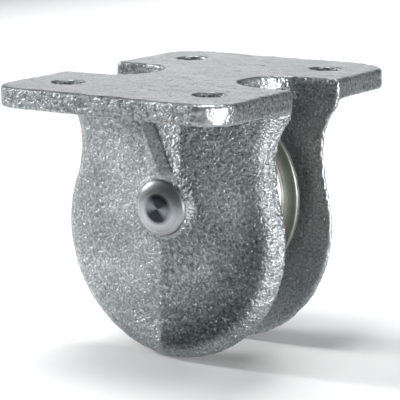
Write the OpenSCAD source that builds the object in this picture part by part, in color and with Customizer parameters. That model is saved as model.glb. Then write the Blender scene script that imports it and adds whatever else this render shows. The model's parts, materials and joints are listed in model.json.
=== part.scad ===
// Enclosed gate wheel: a cast iron fork housing with a grooved steel wheel on two ball bearings.
// The housing is one casting, drawn here as its plate and its two cheeks, which meet face to face.
// The origin is the centre of the plate's top face. X runs along the rail, Y along the axle, Z up.
// All lengths are in millimetres.

/* [Plate] */
// Length of the plate along the rail
plate_l = 108; // [104:1:120]
// Width of the plate across the rail
plate_w = 140; // [132:1:150]
// Thickness of the plate
plate_t = 8.3; // [7:0.1:9.5]
// Radius of the plate's four corners
corner_r = 14; // [8:1:16]
// Distance between bolt holes along the rail
hole_x = 66; // [62:1:72]
// Distance between bolt holes across the rail
hole_y = 90; // [86:1:96]
// Diameter of the four bolt holes
hole_d = 13; // [11:0.5:14]
// Distance from the middle of the plate to the round end of each slot
slot_start = 21; // [18:1:27]

/* [Cheeks] */
// Clear gap between the two cheeks
cheek_gap = 36; // [34:0.5:38]
// Thickness of each cheek
cheek_t = 8.5; // [7.5:0.5:9]
// Radius of the round lower part of a cheek
cheek_r = 52; // [50:0.5:53]
// Depth of that round part's centre below the plate's top face
cheek_drop = 61.5; // [59:0.5:64]
// Half of a cheek's width at its waist
waist_half = 47.5; // [46:0.5:49]
// Depth of the waist below the plate's top face
waist_drop = 28; // [26:0.5:30]
// Radius of the curve by which a cheek widens again above its waist
flare_r = 25; // [20:1:32]

/* [Axle and wheel] */
// Depth of the axle below the plate's top face
axle_drop = 50; // [49.5:0.5:52]
// Diameter of the axle's shank
axle_d = 15; // [15:1:15]
// Diameter of the riveted heads
head_d = 22.8; // [20:0.2:24]
// Diameter of the wheel over its flanges
wheel_d = 80; // [76:1:80]
// Width of the wheel
wheel_w = 26; // [25.5:0.5:28]
// Diameter of the round rail that the groove fits
rail_d = 20; // [16:1:20]

/* [Bearings] */
// Outer diameter of a bearing
bearing_od = 32; // [32:1:32]
// Width of a bearing
bearing_w = 9; // [9:1:9]
// Diameter of a ball
ball_d = 4.76; // [4.6:0.02:4.8]
// Number of balls in a bearing
ball_n = 9; // [7:1:9]
// Distance that the sleeve keeps between the two bearings
sleeve_l = 3; // [2.5:0.5:4]

/* [Hidden] */
$fn = 96;

// A cut runs this far past the faces that it opens
past = 1;
// The angle between the view that a rotate_extrude is drawn in and the axle
to_axle = 90;

inner_face = cheek_gap / 2;
outer_face = inner_face + cheek_t;
plate_end = plate_l / 2;

// The cheek's outline: two concave arcs that meet at the waist, the lower one running into the disc
waist_rise = cheek_drop - waist_drop;
lower_r = (pow(waist_half, 2) + pow(waist_rise, 2) - pow(cheek_r, 2)) / (2 * (cheek_r - waist_half));
join_a = atan2(waist_rise, waist_half + lower_r);
flare_a = acos(1 - (plate_end - waist_half) / flare_r);
disc_steps = 26;
arc_steps = 7;
// Each upper arc starts this many degrees past the end of the one below it
arc_skip = 1;

// The cheek's edge: a small round at the inner face, then a drafted side that rounds over outwards
edge_in = 0.8;
edge_draft = 0.15;
edge_round = 7;
edge_steps = 6;

// The boss around the axle, and the rib above it
boss_h = 1.3;
boss_face = outer_face + boss_h;
// A boss or a rib starts this far below the cheek's outer face
root_sink = 1;
boss_root_r = 17;
boss_top_r = 12;
rib_root_half = 8.5;
rib_top_half = 3;
rib_foot_half = 5.2;
rib_reach = 16;
rib_foot_drop = 38;

// The axle's riveted head
head_h = 3.6;
head_flat_d = 12;
head_edge = 0.8;

// The wheel
wheel_r = wheel_d / 2;
rail_play = 0.2;
groove_r = rail_d / 2 + rail_play;
edge_chamfer = 0.6;
groove_edge = sqrt(pow(groove_r, 2) - pow(edge_chamfer, 2));
rim_chamfer = 0.8;
dish_in_r = 20.5;
dish_out_r = 27;
dish_depth = 2.5;
bore_chamfer = 0.5;

// The bearings: two, on the same axle, a sleeve apart
race_mid = (sleeve_l + bearing_w) / 2;
bearing_end = sleeve_l / 2 + bearing_w;
pitch_r = 11.75;
ball_r = ball_d / 2;
ball_gap = 0.05;
inner_shoulder_r = 10;
outer_shoulder_r = 13.6;
shield_seat_r = 14.3;
shield_t = 0.4;
shield_set = 0.6;
shield_bore_r = 10.4;
cage_t = 0.45;
cage_half = 1.15;
distance_ring_d = 20;

// The retaining rings that hold the bearings in the wheel
clip_t = 1.2;
clip_play = 0.1;
clip_r = 16.85;
clip_bore_r = 14.6;
// Angles from the middle of the ring's gap to its end, and to the middle of each lug
clip_end_a = 27;
lug_a = 34;
lug_r = 2;
lug_pitch_r = 14.4;
lug_hole_d = 2;

cast_colour = [0.66, 0.68, 0.68];
steel_colour = [0.78, 0.79, 0.80];
wheel_colour = [0.58, 0.60, 0.58];
race_colour = [0.82, 0.83, 0.85];
dark_colour = [0.35, 0.36, 0.38];

// Points of an arc about a centre, from one angle to another
function arc(centre, r, from, to, steps) = [
    for (i = [0 : steps])
        let (a = from + (to - from) * i / steps)
        centre + r * [cos(a), sin(a)]
];

// The cheek's right-hand outline from its lowest point up, moved inwards by an inset
function half_outline(inset) = concat(
    arc([0, -cheek_drop], cheek_r - inset, -90, join_a, disc_steps),
    arc([waist_half + lower_r, -waist_drop], lower_r + inset, 180 + join_a - arc_skip, 180, arc_steps),
    arc([waist_half + flare_r, -waist_drop], flare_r + inset, 180 - arc_skip, 180 - flare_a,
        arc_steps),
    [[plate_end - inset, -plate_t]]
);

// The whole outline: the right-hand half, then the same points on the left from the top down
function outline(inset) =
    let (half = half_outline(inset), last = len(half) - 1)
    concat(half, [for (i = [last : -1 : 1]) [-half[i][0], half[i][1]]]);

// Turns a shape drawn with its axis along Z onto the axle, its top towards +Y
module on_axle() {
    translate([0, 0, -axle_drop])
        rotate([-to_axle, 0, 0])
            children();
}

// Draws its children at +Y as they are for the rear, or mirrored to -Y for the front
module side_of(front) {
    mirror([0, front ? 1 : 0, 0])
        children();
}

// A ring with square edges, between two distances along the axle
module ring(inner_r, outer_r, from, to) {
    translate([0, 0, from])
        difference() {
            cylinder(r = outer_r, h = to - from);
            translate([0, 0, -past])
                cylinder(r = inner_r, h = to - from + 2 * past);
        }
}

// The plate's outline with round corners
module plate_outline() {
    half_l = plate_end - corner_r;
    half_w = plate_w / 2 - corner_r;
    square([2 * half_l, plate_w], center = true);
    square([plate_l, 2 * half_w], center = true);
    for (x = [-half_l, half_l], y = [-half_w, half_w])
        translate([x, y])
            circle(r = corner_r);
}

// One slot from its round end out past the plate's end
module slot_outline() {
    centre = slot_start + inner_face;
    translate([centre, 0])
        circle(r = inner_face);
    translate([centre, -inner_face])
        square([plate_end - centre + past, cheek_gap]);
}

// The plate with its four bolt holes and the slot at each end
module top_plate() {
    color(cast_colour)
        difference() {
            translate([0, 0, -plate_t])
                linear_extrude(plate_t)
                    difference() {
                        plate_outline();
                        for (side = [0, 1])
                            mirror([side, 0])
                                slot_outline();
                    }
            for (x = [-hole_x / 2, hole_x / 2], y = [-hole_y / 2, hole_y / 2])
                translate([x, y, -plate_t - past])
                    cylinder(d = hole_d, h = plate_t + 2 * past);
        }
}

// A cheek's slab at +Y: rings of the outline from its inner face to its outer face
module slab() {
    rounds = [
        for (i = [0 : edge_steps])
            let (a = 90 * i / edge_steps, depth = (cheek_t - edge_in) * sin(a))
            [edge_in + depth, edge_draft * depth + edge_round * (1 - cos(a))]
    ];
    rings = concat([[0, edge_in]], rounds);
    count = len(outline(0));
    last = len(rings) - 1;
    points = [
        for (ring = rings, p = outline(ring[1]))
            [p[0], inner_face + ring[0], p[1]]
    ];
    walls = [
        for (k = [0 : last - 1], i = [0 : count - 1])
            let (j = (i + 1) % count)
            [k * count + i, k * count + j, (k + 1) * count + j, (k + 1) * count + i]
    ];
    inside = [for (i = [count - 1 : -1 : 0]) i];
    outside = [for (i = [0 : count - 1]) last * count + i];
    polyhedron(points, concat(walls, [inside, outside]));
}

// The rib at +Y: a wedge from under the plate down to the boss, wider where it meets the cheek
module rib() {
    top = -plate_t;
    reach = outer_face + rib_reach;
    root = outer_face - root_sink;
    points = [
        [-rib_root_half, root, top], [rib_root_half, root, top],
        [rib_top_half, reach, top], [-rib_top_half, reach, top],
        [-rib_root_half, root, -rib_foot_drop], [rib_root_half, root, -rib_foot_drop],
        [rib_foot_half, boss_face, -rib_foot_drop], [-rib_foot_half, boss_face, -rib_foot_drop]
    ];
    faces = [
        [0, 3, 2, 1], [4, 5, 6, 7],
        [0, 1, 5, 4], [3, 7, 6, 2],
        [1, 2, 6], [1, 6, 5], [0, 4, 7], [0, 7, 3]
    ];
    polyhedron(points, faces);
}

// The boss at +Y: a low cone around the axle
module boss() {
    on_axle()
        translate([0, 0, outer_face - root_sink])
            cylinder(r1 = boss_root_r, r2 = boss_top_r, h = boss_h + root_sink);
}

// A cheek with its boss and its rib, drilled for the axle
module cheek(front) {
    color(cast_colour)
        side_of(front)
            difference() {
                union() {
                    slab();
                    boss();
                    rib();
                }
                on_axle()
                    cylinder(d = axle_d, h = boss_face + past);
            }
}

// Half of the axle's section: shank, then the head with its domed side and flat middle
module axle_section() {
    head_r = head_d / 2;
    flat_r = head_flat_d / 2;
    rise = head_h - head_edge;
    steps = 6;
    dome = [
        for (i = [0 : steps])
            let (a = 90 * i / steps)
            [flat_r + (head_r - flat_r) * cos(a), boss_face + head_edge + rise * sin(a)]
    ];
    polygon(concat([[0, 0], [axle_d / 2, 0], [axle_d / 2, boss_face], [head_r, boss_face]],
        dome, [[0, boss_face + head_h]]));
}

// The axle, riveted over at both ends
module axle() {
    color(steel_colour)
        on_axle()
            for (end = [0, 1])
                mirror([0, 0, end])
                    rotate_extrude()
                        axle_section();
}

// Fills the gap between a bearing's inner race and the cheek
module distance_ring(front) {
    color(steel_colour)
        side_of(front)
            on_axle()
                ring(axle_d / 2, distance_ring_d / 2, bearing_end, inner_face);
}

// Keeps the two inner races apart
module centre_sleeve() {
    color(steel_colour)
        on_axle()
            ring(axle_d / 2, distance_ring_d / 2, -sleeve_l / 2, sleeve_l / 2);
}

// Half of the wheel's section on the +Y side: radius first, then distance along the axle
module wheel_half_section() {
    half_w = wheel_w / 2;
    bore_r = bearing_od / 2;
    difference() {
        translate([shield_seat_r, 0])
            square([wheel_r - shield_seat_r, half_w]);
        translate([wheel_r, 0])
            circle(r = groove_r);
        polygon([
            [wheel_r + past, 0], [wheel_r - edge_chamfer, 0],
            [wheel_r - edge_chamfer, groove_edge], [wheel_r + past, groove_edge + edge_chamfer + past]
        ]);
        polygon([
            [wheel_r - rim_chamfer, half_w + past], [wheel_r - rim_chamfer, half_w],
            [wheel_r, half_w - rim_chamfer], [wheel_r + past, half_w - rim_chamfer],
            [wheel_r + past, half_w + past]
        ]);
        translate([dish_in_r, half_w - dish_depth])
            square([dish_out_r - dish_in_r, dish_depth + past]);
        translate([0, sleeve_l / 2])
            square([bore_r, half_w]);
        translate([0, bearing_end])
            square([clip_r, clip_t + clip_play]);
        polygon([
            [bore_r - past, half_w + past], [bore_r - past, half_w - bore_chamfer],
            [bore_r, half_w - bore_chamfer], [bore_r + bore_chamfer, half_w],
            [bore_r + bore_chamfer, half_w + past]
        ]);
    }
}

// The wheel: a turned rim with a groove for a round rail, bored from both sides for the bearings
module wheel() {
    color(wheel_colour)
        on_axle()
            for (side = [0, 1])
                mirror([0, 0, side])
                    rotate_extrude()
                        wheel_half_section();
}

// A sprung ring with an open gap and two lugs, in the wheel's groove outside a bearing
module retaining_ring(front) {
    color(dark_colour)
        side_of(front)
            on_axle()
                translate([0, 0, bearing_end])
                    difference() {
                        union() {
                            ring(clip_bore_r, clip_r, 0, clip_t);
                            for (a = [-lug_a, lug_a])
                                rotate(a)
                                    translate([lug_pitch_r, 0, 0])
                                        cylinder(r = lug_r, h = clip_t);
                        }
                        translate([0, 0, -past])
                            linear_extrude(clip_t + 2 * past)
                                polygon([
                                    [0, 0],
                                    2 * clip_r * [cos(clip_end_a), -sin(clip_end_a)],
                                    2 * clip_r * [cos(clip_end_a), sin(clip_end_a)]
                                ]);
                        for (a = [-lug_a, lug_a])
                            rotate(a)
                                translate([lug_pitch_r, 0, -past])
                                    cylinder(d = lug_hole_d, h = clip_t + 2 * past);
                    }
}

// Puts a bearing part, drawn about its own middle, in the front or the rear bearing
module in_bearing(front) {
    side_of(front)
        on_axle()
            translate([0, 0, race_mid])
                children();
}

// The ring that sits on the axle, with the balls' track around it
module inner_race(front) {
    color(race_colour)
        in_bearing(front)
            rotate_extrude()
                difference() {
                    translate([axle_d / 2, -bearing_w / 2])
                        square([inner_shoulder_r - axle_d / 2, bearing_w]);
                    translate([pitch_r, 0])
                        circle(r = ball_r + ball_gap);
                }
}

// The ring that sits in the wheel, with the balls' track inside it and a seat for each shield
module outer_race(front) {
    seat = bearing_w / 2 - shield_set - shield_t;
    color(race_colour)
        in_bearing(front)
            rotate_extrude()
                difference() {
                    translate([outer_shoulder_r, -bearing_w / 2])
                        square([bearing_od / 2 - outer_shoulder_r, bearing_w]);
                    translate([pitch_r, 0])
                        circle(r = ball_r + ball_gap);
                    for (side = [0, 1])
                        mirror([0, side])
                            translate([0, seat])
                                square([shield_seat_r, bearing_w]);
                }
}

// The thin cover pressed into an outer race, on the bearing's outside (1) or inside (-1)
module shield(front, side) {
    middle = side * (bearing_w / 2 - shield_set - shield_t / 2);
    color(dark_colour)
        in_bearing(front)
            ring(shield_bore_r, shield_seat_r, middle - shield_t / 2, middle + shield_t / 2);
}

// Places its children at each ball
module at_balls() {
    for (i = [0 : ball_n - 1])
        rotate(360 * i / ball_n)
            translate([pitch_r, 0, 0])
                children();
}

// Half of a ribbon cage, cupped over each ball and flat between them
module cage(front, side) {
    color(dark_colour)
        in_bearing(front)
            mirror([0, 0, side > 0 ? 0 : 1])
                difference() {
                    intersection() {
                        ring(pitch_r - cage_half, pitch_r + cage_half, 0, bearing_w / 2);
                        union() {
                            ring(pitch_r - 2 * cage_half, pitch_r + 2 * cage_half, 0, cage_t);
                            at_balls()
                                sphere(r = ball_r + ball_gap + cage_t);
                        }
                    }
                    at_balls()
                        sphere(r = ball_r + ball_gap);
                }
}

// The balls of one bearing
module balls(front) {
    color(race_colour)
        in_bearing(front)
            at_balls()
                sphere(r = ball_r);
}

top_plate();
cheek(true);  // front_cheek
cheek(false);  // rear_cheek
axle();
distance_ring(true);  // front_distance_ring
distance_ring(false);  // rear_distance_ring
centre_sleeve();
wheel();
retaining_ring(true);  // front_retaining_ring
retaining_ring(false);  // rear_retaining_ring
inner_race(true);  // front_inner_race
outer_race(true);  // front_outer_race
shield(true, 1);  // front_outside_shield
shield(true, -1);  // front_inside_shield
cage(true, 1);  // front_outside_cage
cage(true, -1);  // front_inside_cage
balls(true);  // front_balls
inner_race(false);  // rear_inner_race
outer_race(false);  // rear_outer_race
shield(false, 1);  // rear_outside_shield
shield(false, -1);  // rear_inside_shield
cage(false, 1);  // rear_outside_cage
cage(false, -1);  // rear_inside_cage
balls(false);  // rear_balls
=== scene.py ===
# %% [markdown]
# # An enclosed gate wheel
# A grooved steel wheel runs on a round rail under a sliding gate. It sits between the two cheeks
# of a zinc plated iron casting, whose plate bolts to the gate. The sizes and the moving bodies come
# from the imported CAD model, which is loaded first. Each visible piece is then modelled over it, in
# metres and in the same frame: X along the rail, Y along the axle, Z up, zero on the plate's top.

# %% Load the frame
import json
import math

import bpy
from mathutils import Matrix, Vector


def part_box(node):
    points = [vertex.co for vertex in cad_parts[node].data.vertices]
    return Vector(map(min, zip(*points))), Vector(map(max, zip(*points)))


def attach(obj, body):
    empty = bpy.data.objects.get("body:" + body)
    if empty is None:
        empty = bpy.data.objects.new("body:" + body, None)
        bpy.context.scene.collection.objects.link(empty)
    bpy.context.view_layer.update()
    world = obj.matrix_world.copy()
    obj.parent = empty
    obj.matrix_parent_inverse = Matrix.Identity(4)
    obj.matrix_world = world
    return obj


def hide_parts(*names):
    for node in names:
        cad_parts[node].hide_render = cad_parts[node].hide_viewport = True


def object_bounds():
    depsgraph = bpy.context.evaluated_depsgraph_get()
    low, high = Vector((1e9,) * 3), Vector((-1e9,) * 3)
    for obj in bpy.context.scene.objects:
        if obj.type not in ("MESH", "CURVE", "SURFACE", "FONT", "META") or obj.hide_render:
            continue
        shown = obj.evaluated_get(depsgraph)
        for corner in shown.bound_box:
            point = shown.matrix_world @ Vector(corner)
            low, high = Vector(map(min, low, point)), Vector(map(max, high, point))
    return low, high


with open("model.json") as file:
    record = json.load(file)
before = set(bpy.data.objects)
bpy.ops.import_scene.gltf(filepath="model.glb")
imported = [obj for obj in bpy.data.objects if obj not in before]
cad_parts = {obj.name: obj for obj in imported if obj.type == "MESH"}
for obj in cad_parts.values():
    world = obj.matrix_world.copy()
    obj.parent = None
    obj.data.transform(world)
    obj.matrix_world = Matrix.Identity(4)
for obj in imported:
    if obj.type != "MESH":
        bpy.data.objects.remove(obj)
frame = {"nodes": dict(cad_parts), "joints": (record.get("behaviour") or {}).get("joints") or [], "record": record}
cad_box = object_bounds()
MM = 0.001
print("nodes:", len(frame["nodes"]))

# %% [markdown]
# ## Sizes
# Every length that the CAD model can give is read from a node's box or from a mount. Those that a
# box can't give, such as the radius of an arc, are named here in millimetres.

# %% Sizes read from the frame
plate_lo, plate_hi = (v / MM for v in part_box("top_plate"))
cheek_lo, cheek_hi = (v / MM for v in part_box("front_cheek"))
axle_lo, axle_hi = (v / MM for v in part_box("axle"))
wheel_lo, wheel_hi = (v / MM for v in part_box("wheel"))
ring_lo, ring_hi = (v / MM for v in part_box("front_distance_ring"))
bolts = next(m for m in frame["record"]["mounts"] if m["name"] == "gate_bolts")["dims"]
AXLE_Z = frame["joints"][0]["pos_m"][2] / MM
PLATE_T = -plate_lo.z
PLATE_END = plate_hi.x
INNER = -cheek_hi.y
WHEEL_R = (wheel_hi.x - wheel_lo.x) / 2
WHEEL_HALF = wheel_hi.y
HEAD_END = axle_hi.y
HEAD_R = (axle_hi.x - axle_lo.x) / 2
RING_R = (ring_hi.x - ring_lo.x) / 2
print(f"plate {plate_hi.x * 2:.1f} x {plate_hi.y * 2:.1f} x {PLATE_T:.1f} mm, axle at {AXLE_Z:.1f} mm")
print(f"wheel radius {WHEEL_R:.1f} mm, head radius {HEAD_R:.1f} mm, cheek starts at {INNER:.1f} mm")

# %% [markdown]
# ## Helpers for modelling
# An operator acts on whatever is selected, so each helper first says what that is. `start` makes one
# object the only selected one. `pick` selects vertices, edges or faces by where they are, which does
# the work of clicking on them.

# %% Choose what an operator acts on
def start(obj, mode="EDIT"):
    """Makes obj the only selected object and enters a mode."""
    if bpy.context.mode != "OBJECT":
        bpy.ops.object.mode_set(mode="OBJECT")
    bpy.ops.object.select_all(action="DESELECT")
    bpy.context.view_layer.objects.active = obj
    obj.select_set(True)
    bpy.ops.object.mode_set(mode=mode)


def pick(obj, kind, test):
    """Selects the vertices, edges or faces of obj whose middle, in millimetres, passes the test."""
    bpy.ops.object.mode_set(mode="EDIT")
    bpy.ops.mesh.select_mode(type=kind)
    bpy.ops.mesh.select_all(action="DESELECT")
    bpy.ops.object.mode_set(mode="OBJECT")
    mesh = obj.data
    count = 0
    if kind == "FACE":
        for face in mesh.polygons:
            face.select = bool(test(face.center / MM, face.normal))
            count += face.select
    elif kind == "EDGE":
        for edge in mesh.edges:
            a, b = (mesh.vertices[i].co / MM for i in edge.vertices)
            edge.select = bool(test((a + b) / 2, b - a))
            count += edge.select
    else:
        for vertex in mesh.vertices:
            vertex.select = bool(test(vertex.co / MM, None))
            count += vertex.select
    bpy.ops.object.mode_set(mode="EDIT")
    return count


def modify(obj, kind, **settings):
    """Adds a modifier with its settings and applies it."""
    start(obj, "OBJECT")
    modifier = obj.modifiers.new(kind.title(), kind)
    for name, value in settings.items():
        setattr(modifier, name, value)
    bpy.ops.object.modifier_apply(modifier=modifier.name)


def fix(obj, name):
    """Ends a piece: its place goes into its mesh, its seams close and its faces point outwards."""
    start(obj, "OBJECT")
    bpy.ops.object.transform_apply(location=True, rotation=True, scale=True)
    start(obj)
    bpy.ops.mesh.select_all(action="SELECT")
    bpy.ops.mesh.remove_doubles(threshold=0.002 * MM)
    bpy.ops.mesh.normals_make_consistent(inside=False)
    bpy.ops.object.mode_set(mode="OBJECT")
    obj.name = obj.data.name = name
    size = obj.dimensions / MM
    print(f"{name}: {len(obj.data.polygons)} faces, {size.x:.1f} x {size.y:.1f} x {size.z:.1f} mm")
    return obj


# %% Start a mesh from a single point, or cut with a primitive
def dot(x, y, z):
    """A new object of one vertex, selected in edit mode, from which lines are extruded or spun."""
    if bpy.context.mode != "OBJECT":
        bpy.ops.object.mode_set(mode="OBJECT")
    bpy.ops.object.select_all(action="DESELECT")
    bpy.ops.mesh.primitive_plane_add(size=MM)
    obj = bpy.context.active_object
    start(obj)
    bpy.ops.mesh.select_mode(type="VERT")
    bpy.ops.mesh.select_all(action="SELECT")
    bpy.ops.mesh.merge(type="CENTER")
    bpy.ops.transform.translate(value=(x * MM, y * MM, z * MM))
    return obj


def cylinder(radius, depth, place, along_y=False, sides=64):
    """A closed cylinder along Z or Y, in millimetres."""
    if bpy.context.mode != "OBJECT":
        bpy.ops.object.mode_set(mode="OBJECT")
    bpy.ops.object.select_all(action="DESELECT")
    bpy.ops.mesh.primitive_cylinder_add(
        vertices=sides, radius=radius * MM, depth=depth * MM,
        location=[c * MM for c in place], rotation=(math.pi / 2 if along_y else 0, 0, 0))
    return bpy.context.active_object


def cut(obj, cutter):
    """Takes the cutter's volume away from obj, and removes the cutter."""
    modify(obj, "BOOLEAN", operation="DIFFERENCE", object=cutter, solver="EXACT")
    bpy.data.objects.remove(cutter)


# %% [markdown]
# ## The casting: its plate
# The plate is 8.3 mm thick, with round corners, four bolt holes and a slot in each end for the wheel.
# A cube gives the slab, and Bevel on its four upright edges gives the corners. The slots and holes
# are cut with Boolean, because a cut keeps its true width wherever it lands on the slab.

# %% The slab, its corners and its upper edge
CORNER_R = 14
FAR_CORNER_R = 19
TOP_EDGE_R = 1.1
UNDER_EDGE_R = 0.8
bpy.ops.object.select_all(action="DESELECT")
bpy.ops.mesh.primitive_cube_add(
    size=1, location=(0, 0, -PLATE_T / 2 * MM),
    scale=(2 * PLATE_END * MM, 2 * plate_hi.y * MM, PLATE_T * MM))
plate = bpy.context.active_object
bpy.ops.object.transform_apply(location=True, rotation=True, scale=True)
start(plate)
far = pick(plate, "EDGE", lambda p, along: abs(along.z) > 1 and p.x > 0 and p.y > 0)
bpy.ops.mesh.bevel(offset=FAR_CORNER_R * MM, segments=12, affect="EDGES")
near = pick(plate, "EDGE", lambda p, along: abs(along.z) > 1 and abs(p.x) > 50 and abs(p.y) > 65
            and not (p.x > 0 and p.y > 0))
bpy.ops.mesh.bevel(offset=CORNER_R * MM, segments=10, affect="EDGES")
pick(plate, "EDGE", lambda p, along: p.z > -0.01 and abs(along.z) < 0.01)
bpy.ops.mesh.bevel(offset=TOP_EDGE_R * MM, segments=3, affect="EDGES")
pick(plate, "EDGE", lambda p, along: p.z < -PLATE_T + 0.01 and abs(along.z) < 0.01)
bpy.ops.mesh.bevel(offset=UNDER_EDGE_R * MM, segments=2, affect="EDGES")
bpy.ops.object.mode_set(mode="OBJECT")
print("upright edges rounded:", far + near)

# %% The slots and the bolt holes
SLOT_ROUND_X = 39
SLOT_RUN = 20
for side in (-1, 1):
    slot = cylinder(INNER, 3 * PLATE_T, (side * SLOT_ROUND_X, 0, -PLATE_T / 2), sides=72)
    bpy.ops.object.transform_apply(location=True, rotation=True, scale=True)
    start(slot)
    pick(slot, "VERT", lambda p, _: p.x * side > SLOT_ROUND_X - 0.01)
    bpy.ops.transform.translate(value=(side * SLOT_RUN * MM, 0, 0))
    bpy.ops.object.mode_set(mode="OBJECT")
    cut(plate, slot)
for x in (-0.5, 0.5):
    for y in (-0.5, 0.5):
        place = (x * bolts["spacing_x_mm"], y * bolts["spacing_y_mm"], -PLATE_T / 2)
        cut(plate, cylinder(bolts["hole_r_mm"], 3 * PLATE_T, place))
print("plate faces after the cuts:", len(plate.data.polygons))

# %% [markdown]
# ## The casting: its cheeks
# A cheek is a disc whose sides draw in to a waist and widen again to the plate. Its outline is four
# arcs, and each is spun from the last point of the one before, as with a compass. The filled outline
# is extruded to its thickness, and Inset with a depth then rounds its outer edge in small steps, the
# way a pattern maker rounds a casting so that it leaves the sand.

# %% The cheek's measures
DISC_R = 52
DISC_Z = -61.5
WAIST_Z = -28
FLARE_R = 25
RUN_UP = 22
WAIST = 47.5
FRONT_LEFT_WAIST = 45.6
OUTER = 26.5
EDGE_IN = 0.8
EDGE_DRAFT = 0.15
EDGE_ROUND = 7
EDGE_STEPS = 9
CREASE_X = -2
ROOF_DEGREES = 2.0


def turn(degrees, x, z, steps):
    """Draws an arc from the selected point about the axis along Y through x, z."""
    bpy.ops.mesh.spin(
        steps=steps, angle=math.radians(abs(degrees)), center=(x * MM, -OUTER * MM, z * MM),
        axis=(0, math.copysign(1, -degrees), 0))


# %% Draw one cheek
def draw_side(obj, side, waist):
    """Draws the arcs of one side of the outline, up from the lowest point."""
    rise = WAIST_Z - DISC_Z
    lower_r = (waist ** 2 + rise ** 2 - DISC_R ** 2) / (2 * (DISC_R - waist))
    join = math.degrees(math.atan2(rise, waist + lower_r))
    flare = math.degrees(math.acos(1 - (PLATE_END - waist) / FLARE_R))
    pick(obj, "VERT", lambda p, _: abs(p.x) < 0.01 and p.z < DISC_Z - DISC_R + 0.01)
    turn(-side * (90 + join), 0, DISC_Z, 52)
    turn(side * join, side * (waist + lower_r), WAIST_Z, 12)
    turn(side * flare, side * (waist + FLARE_R), WAIST_Z, 9)
    bpy.ops.mesh.extrude_region_move(TRANSFORM_OT_translate={"value": (0, 0, RUN_UP * MM)})


def make_cheek(waist_left, waist_right):
    """A cheek on the front side, from its inner face at -INNER to its outer face at -OUTER."""
    obj = dot(0, -(INNER + EDGE_IN), DISC_Z - DISC_R)
    draw_side(obj, 1, waist_right)
    draw_side(obj, -1, waist_left)
    pick(obj, "VERT", lambda p, _: p.z > 5)
    bpy.ops.mesh.edge_face_add()
    bpy.ops.mesh.select_all(action="SELECT")
    bpy.ops.mesh.remove_doubles(threshold=0.01 * MM)
    bpy.ops.mesh.edge_face_add()
    bpy.ops.mesh.extrude_region_move(TRANSFORM_OT_translate={"value": (0, -0.01 * MM, 0)})
    bpy.ops.mesh.select_all(action="SELECT")
    bpy.ops.mesh.normals_make_consistent(inside=False)
    pick(obj, "FACE", lambda p, n: n.y > 0.9)
    bpy.ops.mesh.inset(thickness=EDGE_IN * MM, depth=EDGE_IN * MM, use_even_offset=True)
    pick(obj, "FACE", lambda p, n: n.y < -0.9)
    depth = OUTER - INNER - EDGE_IN
    inset_was = deep_was = 0
    for step in range(1, EDGE_STEPS + 1):
        a = math.radians(90 * step / EDGE_STEPS)
        deep = depth * math.sin(a)
        inset = EDGE_DRAFT * deep + EDGE_ROUND * (1 - math.cos(a))
        bpy.ops.mesh.inset(thickness=(inset - inset_was) * MM, depth=(deep - deep_was) * MM,
                           use_even_offset=True)
        inset_was, deep_was = inset, deep
    return obj


def roof(obj):
    """Turns each half of the outer face back from a shallow upright crease, and trims the top."""
    bpy.ops.mesh.select_all(action="SELECT")
    bpy.ops.mesh.bisect(plane_co=(CREASE_X * MM, 0, 0), plane_no=(1, 0, 0))
    for side in (-1, 1):
        pick(obj, "VERT", lambda p, _: (p.x - CREASE_X) * side > 0.01 and p.y < -INNER - 1)
        bpy.ops.transform.rotate(
            value=-side * math.radians(ROOF_DEGREES), orient_axis="Z",
            center_override=(CREASE_X * MM, -OUTER * MM, 0))
    bpy.ops.mesh.select_all(action="SELECT")
    bpy.ops.mesh.bisect(plane_co=(0, 0, -PLATE_T / 2 * MM), plane_no=(0, 0, 1),
                        use_fill=True, clear_outer=True)
    return fix(obj, "cheek")


# %% [markdown]
# ## The casting: its ribs and bosses
# A rib like a bracket's web runs from under the plate down to the axle. It is a cube whose outer
# edge is drawn in and tapered, so that the rib is thin at its ridge and deep under the plate, and it
# widens towards the boss. The boss is a low cone. All of them only need to overlap the cheek,
# because one remesh later turns them into a single skin.

# %% A rib, a boss and a whole side
RIB_ROOT = 8.5
RIB_TOP = 2.0
RIB_FOOT = 6.2
RIB_ROOT_FOOT = 7.0
RIB_REACH = -cheek_lo.y
RIB_FOOT_Z = -38
RIB_EDGE_R = 1.2
RIB_SUNK = 2.5
BOSS_FACE = 28.2
BOSS_ROOT_R = 14.2
BOSS_TOP_R = 12.8
BOSS_SUNK = 1.5
BORE_R = 7.5


def make_rib():
    """The wedge between the plate and the boss, on the front side."""
    top, foot, root = -PLATE_T / 2, RIB_FOOT_Z, OUTER - RIB_SUNK
    bpy.ops.object.select_all(action="DESELECT")
    bpy.ops.mesh.primitive_cube_add(
        size=1, location=(0, -(root + RIB_REACH) / 2 * MM, (top + foot) / 2 * MM),
        scale=(2 * RIB_ROOT * MM, (RIB_REACH - root) * MM, (top - foot) * MM))
    obj = bpy.context.active_object
    bpy.ops.object.transform_apply(location=True, rotation=True, scale=True)
    start(obj)
    pick(obj, "VERT", lambda p, _: p.y < -RIB_REACH + 0.1 and p.z > -10)
    bpy.ops.transform.resize(value=(RIB_TOP / RIB_ROOT, 1, 1))
    pick(obj, "VERT", lambda p, _: p.y < -RIB_REACH + 0.1 and p.z < -30)
    bpy.ops.transform.resize(value=(RIB_FOOT / RIB_ROOT, 1, 1))
    bpy.ops.transform.translate(value=(0, (RIB_REACH - BOSS_FACE) * MM, 0))
    pick(obj, "VERT", lambda p, _: p.y > -root - 0.1 and p.z < -30)
    bpy.ops.transform.resize(value=(RIB_ROOT_FOOT / RIB_ROOT, 1, 1))
    pick(obj, "EDGE", lambda p, along: p.y < -BOSS_FACE - 1 and abs(along.z) > 5)
    bpy.ops.mesh.bevel(offset=RIB_EDGE_R * MM, segments=2, affect="EDGES")
    return fix(obj, "rib")


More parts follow.
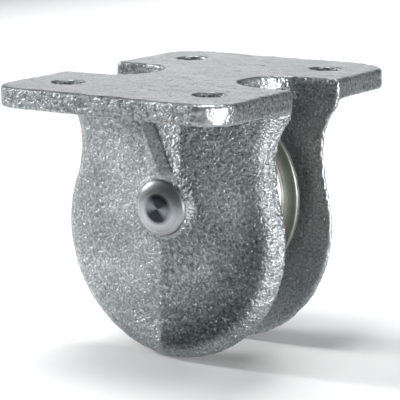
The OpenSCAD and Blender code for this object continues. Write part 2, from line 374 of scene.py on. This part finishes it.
def make_boss():
    """The low cone around the axle, on the front side."""
    start_y = OUTER - BOSS_SUNK
    bpy.ops.object.select_all(action="DESELECT")
    bpy.ops.mesh.primitive_cone_add(
        vertices=96, radius1=BOSS_ROOT_R * MM, radius2=BOSS_TOP_R * MM,
        depth=(BOSS_FACE - start_y) * MM, rotation=(math.pi / 2, 0, 0),
        location=(0, -(BOSS_FACE + start_y) / 2 * MM, AXLE_Z * MM))
    return fix(bpy.context.active_object, "boss")


def make_side(waist_left, waist_right, rear=False):
    """A cheek with its rib and boss, bored for the axle, and mirrored if it is the rear one."""
    parts = [roof(make_cheek(waist_left, waist_right)), make_boss()]
    for part in parts:
        cut(part, cylinder(BORE_R, 60, (0, -OUTER, AXLE_Z), along_y=True))
    parts.append(make_rib())
    start(parts[0], "OBJECT")
    for part in parts:
        part.select_set(True)
    bpy.ops.object.join()
    side = bpy.context.active_object
    if rear:
        bpy.ops.transform.resize(value=(1, -1, 1), center_override=(0, 0, 0))
        fix(side, "rear_side")
    return side


front = make_side(FRONT_LEFT_WAIST, WAIST)
rear = make_side(WAIST, WAIST, rear=True)
print("sides:", len(front.data.polygons), "and", len(rear.data.polygons), "faces")

# %% [markdown]
# ## The casting: one skin
# Iron poured into sand has no sharp corner anywhere. Remesh in its voxel mode wraps the plate, cheeks,
# ribs and bosses in one even skin of small quads, and Smooth is then run only where the casting has a
# fillet. Two Displace modifiers add the uneven skin that sand leaves: a slow wave and a coarse grain.

# %% Join and remesh
VOXEL = 0.93
start(plate, "OBJECT")
for part in (front, rear):
    part.select_set(True)
bpy.ops.object.join()
housing = bpy.context.active_object
modify(housing, "REMESH", mode="VOXEL", voxel_size=VOXEL * MM, adaptivity=0)
print("skin:", len(housing.data.polygons), "quads")


# %% Soften the fillets
UNDER_PLATE = ((-1, 52), (INNER + 1, 32), (-12.5, -7.4))
RIB_SIDES = ((5.5, 12), (25, 32), (-41, -9))
BOSS_ROOT = (14, 18)


def soften(obj, test, repeat):
    """Smooths the vertices that pass the test."""
    start(obj)
    count = pick(obj, "VERT", test)
    bpy.ops.mesh.vertices_smooth(factor=0.5, repeat=repeat)
    bpy.ops.object.mode_set(mode="OBJECT")
    return count


def off_axle(p):
    """How far a point is from the axle's line."""
    return math.hypot(p.x, p.z - AXLE_Z)


def within(p, box):
    """Whether a point is in a box, given as the ranges of |x|, |y| and z in millimetres."""
    return all(low < c < high for c, (low, high) in zip((abs(p.x), abs(p.y), p.z), box))


everywhere = soften(housing, lambda p, _: True, repeat=1)
under = soften(housing, lambda p, _: within(p, UNDER_PLATE), repeat=10)
ribs = soften(housing, lambda p, _: within(p, RIB_SIDES), repeat=4)
bosses = soften(housing, lambda p, _: BOSS_ROOT[0] < off_axle(p) < BOSS_ROOT[1]
                and abs(p.y) > 25, repeat=1)
print("vertices softened:", everywhere, under, ribs, bosses)


# %% Roughen the skin
def sand(obj, name, size, height):
    """Pushes the skin in and out by a cloud pattern of a size and height in millimetres."""
    texture = bpy.data.textures.new(name, "CLOUDS")
    texture.noise_scale = size * MM
    texture.noise_depth = 2
    modify(obj, "DISPLACE", texture=texture, texture_coords="LOCAL", strength=height * MM,
           mid_level=0.5)


sand(housing, "slow wave", size=9, height=0.5)
sand(housing, "sand grain", size=1.9, height=0.32)
start(housing, "OBJECT")
bpy.ops.object.shade_smooth()
housing.name = housing.data.name = "cast_housing"
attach(housing, "housing")
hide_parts("top_plate", "front_cheek", "rear_cheek")
low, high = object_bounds()
print("triangles:", sum(len(f.vertices) - 2 for f in housing.data.polygons))
print("box now:", [round(c / MM, 1) for c in low], [round(c / MM, 1) for c in high])

# %% [markdown]
# ## Turned pieces
# The axle, the wheel and the rings were all turned or formed about the axle's line, so each is a
# profile spun round it. The profile is drawn point by point with Extrude, and Spin carries it round.


# %% A helper that works like a lathe
def lathe(name, profile, sides=128, angle=28):
    """Spins a profile of (radius, distance along Y) points, in millimetres, about the axle."""
    radius, along = profile[0]
    obj = dot(radius, along, AXLE_Z)
    for (r0, y0), (r1, y1) in zip(profile, profile[1:]):
        bpy.ops.mesh.extrude_region_move(
            TRANSFORM_OT_translate={"value": ((r1 - r0) * MM, (y1 - y0) * MM, 0)})
    bpy.ops.mesh.select_all(action="SELECT")
    bpy.ops.mesh.spin(steps=sides, angle=2 * math.pi, center=(0, 0, AXLE_Z * MM), axis=(0, 1, 0))
    fix(obj, name)
    bpy.ops.object.shade_smooth_by_angle(angle=math.radians(angle))
    return obj


def both_ways(half):
    """A profile from the middle outwards, with its mirror image before it."""
    return [(r, -y) for r, y in reversed(half)] + list(half)


# %% [markdown]
# ## The axle and its riveted heads
# The axle is a steel bar whose ends were rolled over by an orbital riveting tool, which leaves a low
# dome, nearly flat in the middle and steep at its rim. The dome is drawn as a curve that falls by a
# power of the radius, with a small chamfer where the rim meets the boss.

# %% The axle's profile
SEAT = BOSS_FACE - 0.2
RIM_RISE = 1.3
DROP = HEAD_END - SEAT - RIM_RISE
DOME_STEPS = 32
DOME_START = 0.96
DOME_POWER = 3.4
SHAFT_R = BORE_R - 0.02
dome = []
for step in range(DOME_STEPS + 1):
    part = DOME_START * (1 - step / DOME_STEPS)
    dome.append((HEAD_R * part, HEAD_END - DROP * part ** DOME_POWER))
head = [(HEAD_R - 0.4, SEAT), (HEAD_R, SEAT + 0.3), (HEAD_R, SEAT + 0.8)] + dome
axle = lathe("axle_riveted", both_ways([(SHAFT_R, 0), (SHAFT_R, SEAT)] + head), sides=160)
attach(axle, "housing")
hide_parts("axle")

# %% [markdown]
# ## The grooved wheel
# The wheel is turned from solid bar, bored from both sides for the bearings, with a half-round groove
# for the rail. Its edges are broken with small chamfers, and a shallow dish lightens each face.

# %% The wheel's profile
GROOVE_R = 10.2
GROOVE_LIP = 0.6
GROOVE_STEPS = 18
CHAMFER = 0.8
SEAT_R, SEAT_END = 16, 1.5
RING_GROOVE_R = 16.85
SHOULDER_R = 14.3
groove = []
for step in range(GROOVE_STEPS + 1):
    a = math.acos(GROOVE_LIP / GROOVE_R) * step / GROOVE_STEPS
    groove.append((WHEEL_R - GROOVE_R * math.cos(a), GROOVE_R * math.sin(a)))
lip = groove[-1][1]
rim = [
    (WHEEL_R - 0.25, lip + 0.2), (WHEEL_R, lip + 0.55),
    (WHEEL_R, WHEEL_HALF - CHAMFER), (WHEEL_R - CHAMFER, WHEEL_HALF)]
dish = [
    (27.4, WHEEL_HALF), (27, 12.7), (26.7, 11), (26.2, 10.5),
    (21.3, 10.5), (20.8, 11), (20.5, 12.7), (20.1, WHEEL_HALF)]
bore = [
    (SEAT_R + 0.5, WHEEL_HALF), (SEAT_R, 12.5), (SEAT_R, 11.8), (RING_GROOVE_R, 11.8),
    (RING_GROOVE_R, 10.5), (SEAT_R, 10.5), (SEAT_R, SEAT_END), (SHOULDER_R, SEAT_END)]
profile = both_ways(groove + rim + dish + bore) + [(SHOULDER_R, -SEAT_END)]
wheel = lathe("wheel_turned", profile, sides=192, angle=24)
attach(wheel, "wheel")
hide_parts("wheel")

# %% [markdown]
# ## The distance rings
# A plain turned ring fills the gap between each bearing and its cheek. Its outer edges are chamfered,
# which is the only part of it that catches light between wheel and cheek.

# %% A distance ring on each side
BEARING_END = -ring_hi.y
RING_CHAMFER = 0.5
for name, side in (("front_distance_ring", -1), ("rear_distance_ring", 1)):
    inner, outer = BEARING_END * side, INNER * side
    ease = RING_CHAMFER * side
    profile = [
        (BORE_R, inner), (RING_R - RING_CHAMFER, inner), (RING_R, inner + ease),
        (RING_R, outer - ease), (RING_R - RING_CHAMFER, outer), (BORE_R, outer), (BORE_R, inner)]
    ring = lathe(name + "_turned", profile, sides=96)
    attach(ring, "housing")
    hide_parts(name)

# %% [markdown]
# ## Materials
# A finish is a small graph of nodes. One helper adds a node with its settings and links, and one
# function turns a hex colour, as read off a screen, into the linear values that Blender mixes.
# Math, Vector Math and Mix nodes repeat the names of their inputs, so those are given by number. In a
# Mix of colours, 0 is the factor, 6 the colour underneath and 7 the one laid over it. In a Mix of
# plain numbers, the two are 2 and 3.


# %% Helpers for materials
def colour(hex_code):
    """The linear colour of an sRGB hex code such as "c8ccd0"."""
    parts = [int(hex_code[i:i + 2], 16) / 255 for i in (0, 2, 4)]
    return [c / 12.92 if c <= 0.04045 else ((c + 0.055) / 1.055) ** 2.4 for c in parts] + [1]


def fill(tree, node, inputs):
    """Gives a node's inputs their values, or links them from a socket or from another node.

    A node stands for the first of its outputs that is in use.
    """
    for name, value in inputs.items():
        if isinstance(value, bpy.types.Node):
            value = next(output for output in value.outputs if output.enabled)
        if isinstance(value, bpy.types.NodeSocket):
            tree.links.new(value, node.inputs[name])
        else:
            node.inputs[name].default_value = value


def add(tree, kind, inputs=None, stops=(), **settings):
    """Adds a node with its inputs and settings. A Color Ramp has stops: a place and a hex colour."""
    node = tree.nodes.new("ShaderNode" + kind)
    for name, value in settings.items():
        setattr(node, name, value)
    fill(tree, node, inputs or {})
    if stops:
        elements = node.color_ramp.elements
        while len(elements) < len(stops):
            elements.new(0.5)
        for element, (position, hex_code) in zip(elements, stops):
            element.position = position
            element.color = colour(hex_code)
    return node


def blank(name):
    """A new material, its node tree and its Principled shader."""
    material = bpy.data.materials.new(name)
    material.use_nodes = True
    tree = material.node_tree
    return material, tree, tree.nodes["Principled BSDF"]


def per_mm(size):
    """The Scale that gives a noise pattern features of a size in millimetres."""
    return 1 / (size * MM)


def coat(obj, material):
    """Puts a material on all of an object."""
    obj.data.materials.clear()
    obj.data.materials.append(material)


# %% [markdown]
# ## Finish: zinc plated sand-cast iron
# Zinc keeps the grain of the sand: pits and humps about a millimetre across, with broader clouds
# where the plating took differently. Plating dulls a pit and brightens a hump, so the grain's noise
# drives colour, roughness and bump together. Each noise gets its scale from its size in millimetres.

# %% Cast zinc: its patterns
GRAIN, SPECK, PIT, FLAW, CLOUD = 1.0, 1.5, 3.0, 9, 24
cast, tree, shader = blank("zinc plated sand-cast iron")
place = add(tree, "TexCoord").outputs["Object"]
drawn = add(tree, "Mapping", {"Vector": place, "Rotation": (0, 0, 0.5), "Scale": (0.3, 1, 1)})
noises = {}
for name, vector, size, detail, roughness in (
        ("grain", place, GRAIN, 2.0, 0.55), ("specks", place, SPECK, 3.0, 0.65),
        ("pits", place, PIT, 2.0, 0.5), ("flaws", drawn, FLAW, 3.0, 0.5),
        ("clouds", place, CLOUD, 2.0, 0.5)):
    noises[name] = add(tree, "TexNoise", {
        "Vector": vector, "Scale": per_mm(size), "Detail": detail, "Roughness": roughness})
print("cast zinc: patterns", sorted(noises))

# %% [markdown]
# The finish isn't the same all over. The top was rubbed flat, and so was one corner of the plate,
# whose colour is also lightened there as a painted highlight. Past its crease the front cheek is
# darkened with painted shade, strongest low on its right. The inner faces and the plate's ends are
# more even. A zone is a mask for such a place: it rises from 0 to its full strength between two
# distances, and a product of zones is the place that they have in common.

# %% Cast zinc: its zones
RUBBED_CORNER = Vector((47, -66, -4)) * MM
TO_LOW_RIGHT = (0.8, 0, -0.6)
RIB_SLOPE = (RIB_FOOT - RIB_TOP) / (-PLATE_T / 2 - RIB_FOOT_Z)
spot = add(tree, "SeparateXYZ", {"Vector": place})
x, y, z = (spot.outputs[axis] for axis in "XYZ")
along = add(tree, "Math", {0: x}, operation="ABSOLUTE")
across = add(tree, "Math", {0: y}, operation="ABSOLUTE")
lowness = add(tree, "VectorMath", {0: place, 1: TO_LOW_RIGHT}, operation="DOT_PRODUCT")
to_corner = add(tree, "VectorMath", {0: place, 1: RUBBED_CORNER}, operation="DISTANCE")
zones = {}
# A row is a zone's name, what it is measured by, where it starts and where it is full in
# millimetres, its full strength, and how it rises.
for name, measure, first, last, full, rise in (
        ("top", z, -0.9, -0.45, 1, "LINEAR"),
        ("plate_side", z, -9, -8, 1, "LINEAR"),
        ("plate_end", along, 52.6, 53.5, 0.75, "LINEAR"),
        ("below_plate", z, -9, -12, 1, "LINEAR"),
        ("above_boss", z, -37.5, -35, 1, "LINEAR"),
        ("front", y, -23, -25.5, 1, "LINEAR"),
        ("raised", y, -27, -28, 1, "LINEAR"),
        ("not_raised", y, -28, -27, 1, "LINEAR"),
        ("inside", across, 20, 18.6, 0.8, "LINEAR"),
        ("past_crease", x, CREASE_X - 1, CREASE_X + 1.5, 1, "SMOOTHSTEP"),
        ("low_right", lowness, 48, 70, 1, "SMOOTHSTEP"),
        ("rubbed", to_corner, 9, 5, 1, "SMOOTHSTEP")):
    zones[name] = add(tree, "MapRange", {
        "Value": measure, "From Min": first * MM, "From Max": last * MM, "To Max": full},
        interpolation_type=rise)
# The first product marks the front cheek past its crease, where painted shade darkens the colour; the last marks
# its low right, where a band of painted shade is strongest.
for name, factors in (
        ("dull", ("past_crease", "front", "below_plate", "not_raised")),
        ("rib", ("above_boss", "raised", "below_plate")),
        ("darkest", ("dull", "low_right"))):
    zones[name] = zones[factors[0]]
    for factor in factors[1:]:
        zones[name] = add(tree, "Math", {0: zones[name], 1: zones[factor]}, operation="MULTIPLY")
print("cast zinc: zones", sorted(zones))

# %% [markdown]
# Two measures carry bands of painted shade. One is the distance across the rib, which leans as the
# rib's right side does, because a painted dark line of shade runs down that side. The other is the
# distance from the middle of the cheek, which places a painted band of shade near the cheek's edge.
# Specks are strongest on the plate's sides and on the half with painted shade, and the thin dark
# flaws keep to patches of the top.

# %% Cast zinc: what its tones follow
RIB_SPAN = 10
DISC_SPAN = 60
on_slant = add(tree, "VectorMath", {0: place, 1: (1, 0, RIB_SLOPE)}, operation="DOT_PRODUCT")
across_rib = add(tree, "MapRange", {
    "Value": on_slant, "From Min": -RIB_SPAN * MM, "From Max": RIB_SPAN * MM})
flat = add(tree, "VectorMath", {0: place, 1: (1, 0, 1)}, operation="MULTIPLY")
from_middle = add(tree, "VectorMath", {0: flat, 1: (0, 0, DISC_Z * MM)}, operation="DISTANCE")
disc = add(tree, "MapRange", {"Value": from_middle, "From Max": DISC_SPAN * MM})
bitten = add(tree, "Math", {0: zones["plate_side"], 1: zones["dull"]}, operation="MAXIMUM")
bitten = add(tree, "Math", {0: bitten, 1: zones["top"]}, operation="SUBTRACT", use_clamp=True)
bite = add(tree, "MapRange", {"Value": bitten, "To Min": 0.3, "To Max": 0.75})
rare = add(tree, "MapRange", {"Value": noises["clouds"], "From Min": 0.42, "From Max": 0.5})
scored = add(tree, "Math", {0: rare, 1: zones["top"]}, operation="MULTIPLY")
# The corner is rubbed smooth, and its colour is also lightened as a painted highlight.
rubbed = add(tree, "Math", {0: zones["rubbed"], 1: 0.3}, operation="MULTIPLY")
print(f"cast zinc: the rib's side leans out {RIB_SLOPE:.3f} mm for each mm down")

# %% Cast zinc: its colour
CLEAR = "ffffff"
tones = {}
for name, measure, stops in (
        ("sides", noises["grain"], ((0.3, "8b8f91"), (0.5, "adb2b3"), (0.7, "ced3d3"))),
        ("top", noises["grain"], ((0.3, "8f9395"), (0.5, "9da1a3"), (0.68, "acb0b1"))),
        ("clouds", noises["clouds"], ((0.35, "c2c6c8"), (0.65, CLEAR))),
        # Painted shade across the rib's face, with a painted dark line of shade down its right side.
        ("rib", across_rib, ((0.22, CLEAR), (0.27, "b9bcbe"), (0.51, "b4b7b9"),
                             (0.56, "5a5e60"), (0.61, CLEAR))),
        # A painted band of shade near the cheek's rounded edge, strongest low on its right.
        ("rim", disc, ((0.35, CLEAR), (0.68, "8e9295"), (0.74, "8e9295"), (0.8, CLEAR))),
        ("specks", noises["specks"], ((0.32, "74787a"), (0.58, CLEAR))),
        ("flaws", noises["flaws"], ((0.0, CLEAR), (0.485, CLEAR), (0.5, "6f7476"),
                                    (0.515, CLEAR)))):
    tones[name] = add(tree, "ValToRGB", {"Fac": measure}, stops)
metal = add(tree, "Mix", {0: zones["top"], 6: tones["sides"], 7: tones["top"]}, data_type="RGBA")
# Painted shade darkens the front cheek past its crease, the rib, and a band low on the cheek's right.
for amount, layer in (
        (0.6, tones["clouds"]), (zones["dull"], colour("dcdedf")), (zones["rib"], tones["rib"]),
        (zones["darkest"], tones["rim"]), (bite, tones["specks"]), (scored, tones["flaws"])):
    metal = add(tree, "Mix", {0: amount, 6: metal, 7: layer},
                data_type="RGBA", blend_type="MULTIPLY")
# Painted highlight on the rubbed corner of the plate.
metal = add(tree, "Mix", {0: rubbed, 6: metal, 7: colour("c8cbcd")}, data_type="RGBA")
print("cast zinc: tones", sorted(tones))

# %% Cast zinc: its gloss and relief
PIT_DEPTH, GRAIN_DEPTH = 1.2, 0.85
rough = add(tree, "MapRange", {
    "Value": noises["grain"], "From Min": 0.3, "From Max": 0.7, "To Min": 0.42, "To Max": 0.26})
even = zones["top"]
for name in ("rubbed", "inside", "plate_end"):
    even = add(tree, "Math", {0: even, 1: zones[name]}, operation="MAXIMUM")
height = add(tree, "MapRange", {"Value": even, "To Min": 1.0, "To Max": 0.25})
coarse = add(tree, "Bump", {
    "Strength": height, "Distance": PIT_DEPTH * MM, "Height": noises["pits"]})
fine = add(tree, "Bump", {
    "Strength": height, "Distance": GRAIN_DEPTH * MM, "Height": noises["grain"], "Normal": coarse})
fill(tree, shader, {"Base Color": metal, "Metallic": 0.88, "Roughness": rough, "Normal": fine})
coat(housing, cast)
print("cast zinc: grain every", GRAIN, "mm")


# %% [markdown]
# ## Finishes: turned, ground and pressed steel
# A turned surface has fine rings about its axis, so the noise is read by radius and by distance along
# the axle, not by X and Z, and comes out as circles. The same graph with other colours and roughness
# gives the wheel, the axle, the races and the pressed parts. Real tool marks are about 0.1 mm apart,
# too fine to see here, so all but the axle's are drawn coarser. The riveting tool burnished the middle
# of the axle's head, which is smoother there. Its darker colour there, with a paler sweep across it,
# is painted reflection.

# %% Steel with rings about the axle
SMUDGE = 9
SWEEP_WAY = (0.25, 0, 0.97)


def ringed(name, dark, light, roughness, spacing, bump, burnish_and_reflection=None):
    """A metal with rings about the axle, their spacing and depth in millimetres.

    The last argument gives the radius of a smoother middle, the colour of the painted dark reflection
    there, and the colour of the paler painted reflection that sweeps across it.
    """
    material, tree, shader = blank(name)
    place = add(tree, "TexCoord").outputs["Object"]
    about = add(tree, "Mapping", {"Vector": place, "Location": (0, 0, -AXLE_Z * MM)})
    spot = add(tree, "SeparateXYZ", {"Vector": about})
    flat = add(tree, "CombineXYZ", {"X": spot.outputs["X"], "Z": spot.outputs["Z"]})
    radius = add(tree, "VectorMath", {0: flat}, operation="LENGTH")
    circling = add(tree, "CombineXYZ", {"X": radius, "Y": spot.outputs["Y"]})
    rings = add(tree, "TexNoise", {
        "Vector": circling, "Scale": per_mm(spacing), "Detail": 3.0, "Roughness": 0.6})
    smudge = add(tree, "TexNoise", {"Vector": place, "Scale": per_mm(SMUDGE), "Detail": 3.0})
    both = add(tree, "Mix", {0: 0.35, 2: rings, 3: smudge})
    metal = add(tree, "ValToRGB", {"Fac": both}, ((0.36, dark), (0.62, light)))
    rough = add(tree, "MapRange", {
        "Value": both, "From Min": 0.3, "From Max": 0.7,
        "To Min": roughness * 1.35, "To Max": roughness * 0.75})
    if burnish_and_reflection:
        edge, dark_reflection, pale_reflection = burnish_and_reflection
        middle = add(tree, "MapRange", {
            "Value": radius, "From Min": (edge + 0.6) * MM, "From Max": (edge - 1.1) * MM},
            interpolation_type="SMOOTHSTEP")
        sideways = add(tree, "VectorMath", {0: flat, 1: SWEEP_WAY}, operation="DOT_PRODUCT")
        turn_from = add(tree, "Math", {0: sideways, 1: radius}, operation="DIVIDE")
        sweep = add(tree, "Math", {0: turn_from}, operation="ABSOLUTE")
        # Painted reflection: a darker middle with a paler band across it.
        painted_reflection = add(tree, "ValToRGB", {"Fac": sweep}, ((0.2, pale_reflection), (0.75, dark_reflection)))
        metal = add(tree, "Mix", {0: middle, 6: metal, 7: painted_reflection},
                    data_type="RGBA", blend_type="MULTIPLY")
        smooth = add(tree, "Math", {0: middle, 1: -0.5, 2: 1.0}, operation="MULTIPLY_ADD")
        rough = add(tree, "Math", {0: rough, 1: smooth}, operation="MULTIPLY")
    marks = add(tree, "Bump", {"Strength": 0.6, "Distance": bump * MM, "Height": rings})
    fill(tree, shader, {"Base Color": metal, "Metallic": 1.0, "Roughness": rough, "Normal": marks})
    print(f"{name}: rings every {spacing} mm")
    return material


# Pressed smooth by the riveting tool: satin, with the finest rings, and painted reflection in the middle of the
# head.
riveted = ringed("zinc plated steel, rolled over", "818588", "b6b9bb", 0.3, 0.15, 0.03,
                 burnish_and_reflection=(6.1, "50565c", "b8bdc1"))
# Turned with a coarse feed under dull zinc: dark and soft, with plain rings.
turned = ringed("zinc plated turned steel", "5c5f57", "aeb1a8", 0.42, 0.7, 0.05)
# Turned and left bare: brighter than zinc.
spacer = ringed("bright turned steel", "85888a", "c6c9cb", 0.3, 0.5, 0.05)
# Ground and honed: close to a mirror, with hardly any depth to its rings.
ground = ringed("ground bearing steel", "8f9396", "d9dcde", 0.14, 0.35, 0.01)
# Pressed from bright strip: broad, soft changes of tone in place of tool marks.
pressed = ringed("bright pressed sheet steel", "7d8082", "b6b9bb", 0.32, 2.5, 0.03)
coat(axle, riveted)
coat(wheel, turned)

# %% [markdown]
# ## Finish: phosphated spring steel
# A retaining ring is stamped from spring steel and phosphated, which leaves a dark grey skin of fine
# crystals that holds oil. The crystals are drawn half a millimetre across, coarser than they are, so
# that they show.

# %% Oiled phosphate
CRYSTAL = 0.5
phosphate, tree, shader = blank("phosphated spring steel")
place = add(tree, "TexCoord").outputs["Object"]
crystals = add(tree, "TexNoise", {"Vector": place, "Scale": per_mm(CRYSTAL), "Detail": 2.0})
skin = add(tree, "ValToRGB", {"Fac": crystals}, ((0.35, "1c1d1f"), (0.65, "3a3b3d")))
etched = add(tree, "Bump", {"Strength": 0.5, "Distance": 0.03 * MM, "Height": crystals})
fill(tree, shader, {"Base Color": skin, "Metallic": 0.6, "Roughness": 0.42, "Normal": etched})
print("phosphate: crystals every", CRYSTAL, "mm")

# %% Give each piece its finish
slots = {s["node"]: s["material_slot"] for s in frame["record"]["subparts"]}
finishes = {"race_steel": ground, "pressed_steel": pressed, "spring_steel": phosphate,
            "spacer_steel": spacer, "cast_housing": cast, "axle_steel": riveted,
            "wheel_steel": turned}
for name, node in frame["nodes"].items():
    if name in slots:
        coat(node, finishes[slots[name]])
for name in ("front_distance_ring", "rear_distance_ring"):
    coat(bpy.data.objects[name + "_turned"], spacer)
print("finishes given:", len(finishes))

# %% [markdown]
# ## Floor, light and camera
# The wheel stands on a plain pale floor that runs far back, so that it fills the view with one even
# tone. Metal shows what is round it: a mid grey sky, dimmer in front, keeps the cheeks even, and four
# soft boxes with honeycomb grids light the floor, the top, the left edges and the right end. The
# camera sees one plain grey beyond the floor in place of the sky.

# %% Floor
FLOOR_SIZE = 16
bpy.ops.object.select_all(action="DESELECT")
bpy.ops.mesh.primitive_plane_add(size=FLOOR_SIZE, location=(0, 0, cad_box[0].z))
floor = bpy.context.active_object
floor.name = "floor"
paper, tree, shader = blank("matt white board")
fill(tree, shader, {"Base Color": colour("f6f6f6"), "Roughness": 0.9})
coat(floor, paper)
print("floor at", round(cad_box[0].z / MM, 1), "mm")

# %% Sky
FRONT_WAY = (0.2, -0.98, 0.0)
world = bpy.data.worlds.new("studio")
bpy.context.scene.world = world
world.use_nodes = True
tree = world.node_tree
way = add(tree, "TexCoord").outputs["Generated"]
frontness = add(tree, "VectorMath", {0: way, 1: FRONT_WAY}, operation="DOT_PRODUCT")
sky = add(tree, "ValToRGB", {"Fac": frontness}, (
    (0.0, "8c8e90"), (0.35, "737577"), (0.75, "4c4e50")))
seen = add(tree, "LightPath").outputs["Is Camera Ray"]
backdrop = add(tree, "Mix", {0: seen, 6: sky, 7: colour("7d7f80")}, data_type="RGBA")
fill(tree, tree.nodes["Background"], {"Color": backdrop, "Strength": 1.0})


# %% Soft boxes
def soft_box(name, place, aim, width, height, power, spread):
    """A rectangular area light that the camera doesn't see; a small spread is a honeycomb grid."""
    bpy.ops.object.light_add(type="AREA", location=place)
    lamp = bpy.context.active_object
    lamp.name = name
    lamp.data.shape = "RECTANGLE"
    lamp.data.size, lamp.data.size_y = width, height
    lamp.data.energy = power
    lamp.data.spread = math.radians(spread)
    lamp.visible_camera = False
    lamp.rotation_euler = (Vector(aim) - Vector(place)).to_track_quat("-Z", "Y").to_euler()


WHEEL_MIDDLE = (0, 0, -0.05)
soft_box("floor strip", (-0.46, 0.66, 0.75), (-0.46, 0.66, -0.115),
         width=1.15, height=2.15, power=7.5, spread=45)
soft_box("back low", (-1.0, 1.5, 0.45), WHEEL_MIDDLE,
         width=1.3, height=0.6, power=0.57, spread=70)
soft_box("left key", (-1.3, -0.35, 0.5), WHEEL_MIDDLE,
         width=0.25, height=0.4, power=1.5, spread=60)
soft_box("right strip", (1.1, -0.62, 0.0), WHEEL_MIDDLE,
         width=0.35, height=0.32, power=2.5, spread=60)

# %% Camera
AZIMUTH, ELEVATION = 32.67, 11.46
DISTANCE = 0.75
LENS = 168.1
AIM = Vector((8.9, -13.8, -48.3)) * MM
a, e = math.radians(AZIMUTH), math.radians(ELEVATION)
back_way = Vector((math.sin(a) * math.cos(e), -math.cos(a) * math.cos(e), math.sin(e)))
bpy.ops.object.camera_add(location=AIM + back_way * DISTANCE)
camera = bpy.context.active_object
camera.name = "camera"
camera.rotation_euler = (-back_way).to_track_quat("-Z", "Y").to_euler()
camera.data.lens = LENS
camera.data.clip_start = 0.01
bpy.context.scene.camera = camera
bpy.context.scene.view_settings.view_transform = "Standard"
print("camera:", LENS, "mm lens,", DISTANCE, "m away")
